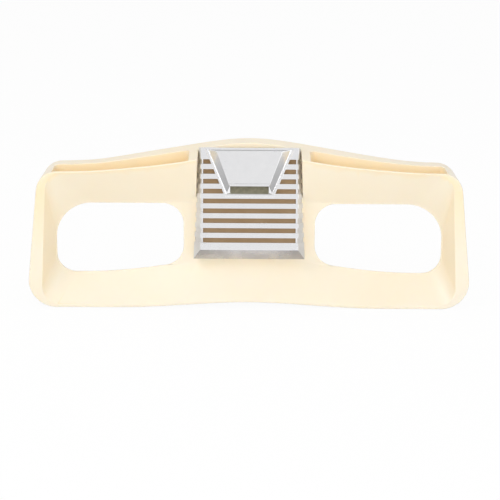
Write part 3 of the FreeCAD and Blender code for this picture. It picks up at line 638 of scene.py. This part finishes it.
def woven_cloth(settings):
    """Plain weave: upright and level threads that pass over each other in turn."""
    material, tree, shader = new_material("Brown grille cloth")
    place = tree.nodes.new("ShaderNodeTexCoord").outputs["UV"]
    waves = []
    for direction in ("X", "Y"):
        wave = tree.nodes.new("ShaderNodeTexWave")
        wave.bands_direction = direction
        wave.inputs["Scale"].default_value = WAVE_LENGTH / settings.thread
        wave.inputs["Distortion"].default_value = 0.8
        wave.inputs["Detail"].default_value = 2.0
        tree.links.new(place, wave.inputs["Vector"])
        waves.append(wave.outputs["Fac"])
    over = tree.nodes.new("ShaderNodeMath")
    over.operation = "SUBTRACT"
    tree.links.new(waves[0], over.inputs[0])
    tree.links.new(waves[1], over.inputs[1])
    side = spread(tree, over.outputs[0], -0.5, 0.5, 0.0, 1.0)
    threads = blend_colours(tree, side, tuple(settings.warp), tuple(settings.weft))
    faded = noise(tree, 14.0, 3.0, place)
    amount = spread(tree, faded.outputs["Fac"], 0.4, 0.75, 0.0, 0.5)
    tree.links.new(blend_colours(tree, amount, threads, tuple(settings.faded)), shader.inputs["Base Color"])
    shader.inputs["Roughness"].default_value = 0.9
    shader.inputs["Sheen Weight"].default_value = 0.2
    both = tree.nodes.new("ShaderNodeMath")
    both.operation = "MAXIMUM"
    tree.links.new(waves[0], both.inputs[0])
    tree.links.new(waves[1], both.inputs[1])
    bump(tree, shader, both.outputs[0], strength=0.6, distance=0.0003)
    return material


def hardboard():
    """Pressed brown fibre board."""
    return mottled(
        "Hardboard", clean=(0.22, 0.13, 0.07, 1.0), worn=(0.30, 0.19, 0.10, 1.0),
        roughness=(0.62, 0.80), metallic=0.0, blotch=60.0, grain=700.0, strength=0.3, distance=0.0004,
    )


def felt():
    """Pale felt under the grille's rim."""
    return mottled(
        "Pale felt", clean=(0.56, 0.53, 0.46, 1.0), worn=(0.46, 0.43, 0.37, 1.0),
        roughness=(0.92, 0.98), metallic=0.0, blotch=90.0, grain=1500.0, strength=0.6, distance=0.0005,
    )


def turned_brass():
    """Brass of the threaded inserts."""
    return mottled(
        "Turned brass", clean=(0.66, 0.46, 0.17, 1.0), worn=(0.48, 0.32, 0.12, 1.0),
        roughness=(0.26, 0.42), metallic=1.0, blotch=80.0, grain=1500.0, strength=0.1, distance=0.0001,
    )


def zinc_plate():
    """Zinc plated steel of the fasteners."""
    return mottled(
        "Zinc plated steel", clean=(0.58, 0.59, 0.60, 1.0), worn=(0.44, 0.44, 0.42, 1.0),
        roughness=(0.32, 0.50), metallic=1.0, blotch=60.0, grain=1200.0, strength=0.1, distance=0.0001,
    )


def pressed_sheet():
    """Bright sheet that the drawer's inner pieces are pressed from."""
    return mottled(
        "Pressed bright sheet", clean=(0.62, 0.62, 0.62, 1.0), worn=(0.46, 0.45, 0.43, 1.0),
        roughness=(0.28, 0.46), metallic=1.0, blotch=22.0, grain=900.0, strength=0.1, distance=0.0001,
    )


def black_enamel():
    """Black enamel on the drawer's housing."""
    return mottled(
        "Black enamelled sheet", clean=(0.020, 0.020, 0.021, 1.0), worn=(0.045, 0.042, 0.040, 1.0),
        roughness=(0.36, 0.58), metallic=0.0, blotch=18.0, grain=800.0, strength=0.15, distance=0.0002,
    )


def rivet_alloy():
    """Soft alloy of the rivets."""
    return mottled(
        "Rivet alloy", clean=(0.66, 0.66, 0.67, 1.0), worn=(0.50, 0.50, 0.50, 1.0),
        roughness=(0.30, 0.44), metallic=1.0, blotch=90.0, grain=1500.0, strength=0.1, distance=0.0001,
    )


# Operators


class FASCIA_OT_moulding(bpy.types.Operator):
    """Round the moulding's edges and give it its cream finish"""

    bl_idname = "fascia.moulding"
    bl_label = "Finish Moulding"

    sharper_than, smooth_under = 38.0, 40.0
    # inward is how strongly inward-facing walls below trough_low get painted warm shade
    trough_low, rays, inward = 0.27, 12, 0.45

    def execute(self, context):
        settings = context.scene.fascia.moulding
        piece = copy_of_node("fascia_moulding", "cream_moulding")
        weigh_edges(piece, settings, self.sharper_than)
        soften_edges(piece, settings.rim_edge, settings.segments, None, self.smooth_under)
        # marks where painted warm shade goes, in the troughs and on inward-facing walls
        mark_recess_shade(piece, self.trough_low, self.rays, self.inward)
        dress(piece, cream_plastic(settings))
        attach(piece, SHELL)
        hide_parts("fascia_moulding")
        return {"FINISHED"}


class FASCIA_OT_grille(bpy.types.Operator):
    """Round the grille's edges and plate it"""

    bl_idname = "fascia.grille"
    bl_label = "Finish Grille"

    # faces of the low bevel that face down more steeply than this get the darker plating as painted shade
    steepest = -0.3
    sideways, side_from = 0.45, 0.107

    def shade_and_satin_faces(self, piece):
        """Paint the bevel along the lower edge, which faces forward and down, a darker grey as painted
        shade, and give the two sides a satin plating.
        """
        piece.data.materials.append(shaded_plating())
        piece.data.materials.append(satin_plating())
        for face in piece.data.polygons:
            low = (UPRIGHT @ face.center).z < UPRIGHT_FOOT.z
            downward = face.normal.z < self.steepest and face.normal.y < self.steepest
            outward = face.normal.x * math.copysign(1.0, face.center.x) > self.sideways
            if low and downward:
                face.material_index = 1
            elif outward and abs(face.center.x) > self.side_from:
                face.material_index = 2

    def execute(self, context):
        settings = context.scene.fascia.grille
        piece = copy_of_node("grille_casting", "plated_grille")
        soften_edges(piece, settings.edge, segments=2, sharper_than=25.0, smooth_under=35.0)
        dress(piece, bright_plating(settings))
        self.shade_and_satin_faces(piece)
        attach(piece, SHELL)
        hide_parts("grille_casting")
        return {"FINISHED"}


class FASCIA_OT_drawer_front(bpy.types.Operator):
    """Round the edges of the drawer's front and plate it"""

    bl_idname = "fascia.drawer_front"
    bl_label = "Finish Drawer Front"

    # box of the finger hollow, whose faces get the painted olive shade
    hollow_half, hollow_low, hollow_high = 0.0434, 0.2652, 0.2832
    hollow_front, hollow_back = -0.0084, -0.0001

    def shade_hollow(self, piece):
        """Paint the faces of the finger hollow dark olive, as painted shade and reflection."""
        piece.data.materials.append(painted_hollow_shade())
        for face in piece.data.polygons:
            spot = UPRIGHT @ face.center
            inside = (
                abs(spot.x) < self.hollow_half
                and self.hollow_low < spot.z < self.hollow_high
                and self.hollow_front < spot.y < self.hollow_back
            )
            face.material_index = 1 if inside else 0

    def execute(self, context):
        settings = context.scene.fascia.grille
        piece = copy_of_node("ashtray_front", "plated_drawer_front")
        soften_edges(piece, settings.edge, segments=2, sharper_than=20.0, smooth_under=35.0)
        dress(piece, bright_plating(settings))
        self.shade_hollow(piece)
        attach(piece, DRAWER)
        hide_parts("ashtray_front")
        return {"FINISHED"}


class FASCIA_OT_cloth(bpy.types.Operator):
    """Stretch the brown cloth behind the grille's slots"""

    bl_idname = "fascia.cloth"
    bl_label = "Stretch Grille Cloth"

    low = 0.1449
    port_low, port_high = 0.2675, 0.3505
    port_low_half, port_high_half = 0.0470, 0.0802
    face_depth = 0.00715
    columns, rows = 42, 44

    def cut_port(self):
        """Cut the way through for the drawer's bin, along four straight lines."""
        slope = (self.port_high_half - self.port_low_half) / (self.port_high - self.port_low)
        lines = [
            (Vector((0, 0, self.port_low)), Vector((0, 0, 1))),
            (Vector((0, 0, self.port_high)), Vector((0, 0, 1))),
            (Vector((self.port_low_half, 0, self.port_low)), Vector((1, 0, -slope))),
            (Vector((-self.port_low_half, 0, self.port_low)), Vector((-1, 0, -slope))),
        ]
        for point, normal in lines:
            bpy.ops.mesh.select_all(action="SELECT")
            bpy.ops.mesh.bisect(plane_co=point, plane_no=normal)
        mesh = bmesh.from_edit_mesh(bpy.context.edit_object.data)
        for face in mesh.faces:
            middle = face.calc_center_median()
            half = self.port_low_half + (middle.z - self.port_low) * slope
            inside = self.port_low < middle.z < self.port_high and abs(middle.x) < half
            face.select_set(inside)
        bmesh.update_edit_mesh(bpy.context.edit_object.data)
        bpy.ops.mesh.delete(type="FACE")

    def execute(self, context):
        settings = context.scene.fascia.cloth
        deselect_all()
        bpy.ops.mesh.primitive_grid_add(x_subdivisions=self.columns, y_subdivisions=self.rows, size=1.0)
        piece = context.object
        piece.name = "grille_cloth_sheet"
        piece.data.name = "grille_cloth_sheet"
        middle = self.low + settings.height / 2
        piece.scale = (settings.width, settings.height, 1.0)
        piece.rotation_euler = (math.pi / 2, 0.0, 0.0)
        piece.location = (0.0, self.face_depth, middle)
        bpy.ops.object.transform_apply(location=True, rotation=True, scale=True)
        bpy.ops.object.mode_set(mode="EDIT")
        self.cut_port()
        bpy.ops.object.mode_set(mode="OBJECT")
        for layer in piece.data.uv_layers:
            for loop in piece.data.loops:
                spot = piece.data.vertices[loop.vertex_index].co
                layer.data[loop.index].uv = (spot.x, spot.z)
        thread = piece.modifiers.new("Thickness", "SOLIDIFY")
        thread.thickness = settings.thickness
        thread.offset = -1.0
        bpy.ops.object.modifier_apply(modifier=thread.name)
        piece.data.transform(LEANING)
        bpy.ops.object.shade_smooth_by_angle(angle=math.radians(40.0))
        dress(piece, woven_cloth(settings))
        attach(piece, SHELL)
        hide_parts("grille_cloth")
        return {"FINISHED"}


class FASCIA_OT_fittings(bpy.types.Operator):
    """Give the board, the fasteners and the drawer's inner pieces their finishes"""

    bl_idname = "fascia.fittings"
    bl_label = "Finish Fittings"

    def execute(self, context):
        finishes = {
            hardboard: ["baffle_board"],
            felt: ["grille_seal"],
            turned_brass: ["boss_inserts"],
            zinc_plate: ["grille_studs", "grille_spacers", "grille_washers", "grille_nuts",
                         "housing_screws"],
            pressed_sheet: ["ashtray_bin", "stubbing_plate", "ashtray_spring",
                            "ashtray_runner_left", "ashtray_runner_right"],
            black_enamel: ["ashtray_housing"],
            rivet_alloy: ["front_rivets", "spring_rivet"],
        }
        for finish, nodes in finishes.items():
            for node in nodes:
                dress(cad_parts[node], finish())
        return {"FINISHED"}


class FASCIA_OT_stage(bpy.types.Operator):
    """Set the floor, the light and the camera"""

    bl_idname = "fascia.stage"
    bl_label = "Set Stage"

    aim = (0.0, 0.0, 0.18)
    # Name, place, size, power, tint, and whether bright metal mirrors it
    lamps = (
        ("key_light", (-1.9, -1.7, 2.3), (1.8, 1.8), 26.0, (1.0, 0.99, 0.97), True),
        ("fill_light", (2.2, -2.4, 1.2), (2.2, 2.2), 19.0, (0.98, 0.99, 1.0), True),
        ("top_light", (0.2, 0.5, 2.8), (2.4, 1.6), 15.0, (1.0, 1.0, 1.0), True),
        ("front_light", (0.0, -3.0, 0.80), (0.8, 0.8), 15.0, (1.0, 1.0, 1.0), False),
    )
    soft_level = 0.60
    # Shares of facing forward between which the mirrored surroundings go from grey to white
    flag_from, flag_to = 0.52, 0.82
    flag_grey = 0.40
    floor_size, floor_drop = 30.0, 0.0004
    floor_grey = (0.90, 0.90, 0.90, 1.0)
    floor_glow = 0.95
    white = (1.0, 1.0, 1.0, 1.0)
    sensor = 36.0

    def side_flags(self, tree, direction):
        """White in front and behind, and greyer to the sides."""
        unit = tree.nodes.new("ShaderNodeVectorMath")
        unit.operation = "NORMALIZE"
        tree.links.new(direction, unit.inputs[0])
        parts = tree.nodes.new("ShaderNodeSeparateXYZ")
        tree.links.new(unit.outputs["Vector"], parts.inputs["Vector"])
        facing = tree.nodes.new("ShaderNodeMath")
        facing.operation = "ABSOLUTE"
        tree.links.new(parts.outputs["Y"], facing.inputs[0])
        return spread(tree, facing.outputs[0], self.flag_from, self.flag_to, self.flag_grey, 1.0)

    def add_floor(self):
        """A pale floor, which the camera sees as white with the object's soft shadow on it."""
        deselect_all()
        bpy.ops.mesh.primitive_plane_add(size=self.floor_size, location=(0.0, 0.0, -self.floor_drop))
        floor = bpy.context.object
        floor.name = "floor"
        material, tree, shader = new_material("Pale floor")
        shader.inputs["Base Color"].default_value = self.floor_grey
        shader.inputs["Roughness"].default_value = 1.0
        shader.inputs["Specular IOR Level"].default_value = 0.0
        rays = tree.nodes.new("ShaderNodeLightPath")
        seen = tree.nodes.new("ShaderNodeMath")
        seen.operation = "MAXIMUM"
        tree.links.new(rays.outputs["Is Camera Ray"], seen.inputs[0])
        tree.links.new(rays.outputs["Is Glossy Ray"], seen.inputs[1])
        share = tree.nodes.new("ShaderNodeMath")
        share.operation = "MULTIPLY"
        share.inputs[1].default_value = self.floor_glow
        tree.links.new(seen.outputs[0], share.inputs[0])
        glow = tree.nodes.new("ShaderNodeEmission")
        level = tree.nodes.new("ShaderNodeMath")
        level.operation = "MAXIMUM"
        place = tree.nodes.new("ShaderNodeTexCoord").outputs["Object"]
        tree.links.new(self.side_flags(tree, place), level.inputs[0])
        tree.links.new(rays.outputs["Is Camera Ray"], level.inputs[1])
        tree.links.new(level.outputs[0], glow.inputs["Strength"])
        mix = tree.nodes.new("ShaderNodeMixShader")
        tree.links.new(share.outputs[0], mix.inputs["Fac"])
        tree.links.new(shader.outputs["BSDF"], mix.inputs[1])
        tree.links.new(glow.outputs["Emission"], mix.inputs[2])
        tree.links.new(mix.outputs["Shader"], tree.nodes["Material Output"].inputs["Surface"])
        dress(floor, material)

    def add_light(self, name, place, size, power, tint, mirrored):
        """An area lamp, which bright metal mirrors or not."""
        bpy.ops.object.light_add(type="AREA", location=place)
        lamp = bpy.context.object
        lamp.name = name
        lamp.data.shape = "RECTANGLE"
        lamp.data.size, lamp.data.size_y = size
        lamp.data.energy = power
        lamp.data.color = tint
        lamp.visible_glossy = mirrored
        direction = Vector(self.aim) - Vector(place)
        lamp.rotation_euler = direction.to_track_quat("-Z", "Y").to_euler()

    def add_camera(self, settings):
        """A camera that looks at the front from where the photo was taken."""
        target = Vector(settings.target)
        back = Vector((0.0, -math.cos(settings.elevation), math.sin(settings.elevation)))
        bpy.ops.object.camera_add(location=target + back * settings.distance)
        camera = bpy.context.object
        camera.name = "photo_camera"
        turn = (-back).to_track_quat("-Z", "Y").to_matrix().to_4x4()
        roll = Matrix.Rotation(settings.roll, 4, "Z")
        camera.matrix_world = Matrix.Translation(camera.location) @ turn @ roll
        camera.data.sensor_width = self.sensor
        camera.data.lens = self.sensor * settings.distance / settings.view_width
        bpy.context.scene.camera = camera

    def set_world(self):
        """Soft white light all round. The camera sees plain white, and bright metal sees white in
        front and behind, with greyer sides."""
        world = bpy.data.worlds.new("Studio")
        bpy.context.scene.world = world
        world.use_nodes = True
        tree = world.node_tree
        soft = tree.nodes["Background"]
        soft.inputs["Color"].default_value = self.white
        soft.inputs["Strength"].default_value = self.soft_level
        plain = tree.nodes.new("ShaderNodeBackground")
        plain.inputs["Color"].default_value = self.white
        flags = tree.nodes.new("ShaderNodeBackground")
        direction = tree.nodes.new("ShaderNodeTexCoord").outputs["Generated"]
        tree.links.new(self.side_flags(tree, direction), flags.inputs["Strength"])
        rays = tree.nodes.new("ShaderNodeLightPath")
        mirrored = tree.nodes.new("ShaderNodeMath")
        mirrored.operation = "MAXIMUM"
        tree.links.new(rays.outputs["Is Glossy Ray"], mirrored.inputs[0])
        tree.links.new(rays.outputs["Is Transmission Ray"], mirrored.inputs[1])
        shown = soft.outputs["Background"]
        for amount, backdrop in ((mirrored.outputs[0], flags), (rays.outputs["Is Camera Ray"], plain)):
            mix = tree.nodes.new("ShaderNodeMixShader")
            tree.links.new(amount, mix.inputs["Fac"])
            tree.links.new(shown, mix.inputs[1])
            tree.links.new(backdrop.outputs["Background"], mix.inputs[2])
            shown = mix.outputs["Shader"]
        tree.links.new(shown, tree.nodes["World Output"].inputs["Surface"])

    def execute(self, context):
        self.add_floor()
        self.set_world()
        for lamp in self.lamps:
            self.add_light(*lamp)
        self.add_camera(context.scene.fascia.stage)
        context.scene.view_settings.view_transform = "Standard"
        return {"FINISHED"}


class FASCIA_PT_panel(bpy.types.Panel):
    """Operators and settings of the fascia"""

    bl_idname = "FASCIA_PT_panel"
    bl_label = "Dashboard Fascia"
    bl_space_type = "VIEW_3D"
    bl_region_type = "UI"
    bl_category = "Fascia"

    def draw(self, context):
        settings = context.scene.fascia
        for operator, group in (
            (FASCIA_OT_moulding, settings.moulding),
            (FASCIA_OT_grille, settings.grille),
            (FASCIA_OT_drawer_front, None),
            (FASCIA_OT_cloth, settings.cloth),
            (FASCIA_OT_fittings, None),
            (FASCIA_OT_stage, settings.stage),
        ):
            box = self.layout.box()
            box.operator(operator.bl_idname)
            if group:
                for name in group.__annotations__:
                    box.prop(group, name)


CLASSES = (
    MouldingSettings,
    GrilleSettings,
    ClothSettings,
    StageSettings,
    FasciaSettings,
    FASCIA_OT_moulding,
    FASCIA_OT_grille,
    FASCIA_OT_drawer_front,
    FASCIA_OT_cloth,
    FASCIA_OT_fittings,
    FASCIA_OT_stage,
    FASCIA_PT_panel,
)


def register():
    for each in CLASSES:
        bpy.utils.register_class(each)
    bpy.types.Scene.fascia = PointerProperty(type=FasciaSettings)


def unregister():
    del bpy.types.Scene.fascia
    for each in reversed(CLASSES):
        bpy.utils.unregister_class(each)


def main():
    register()
    bpy.ops.fascia.moulding()
    bpy.ops.fascia.grille()
    bpy.ops.fascia.drawer_front()
    bpy.ops.fascia.cloth()
    bpy.ops.fascia.fittings()
    bpy.ops.fascia.stage()


if __name__ == "__main__":
    main()
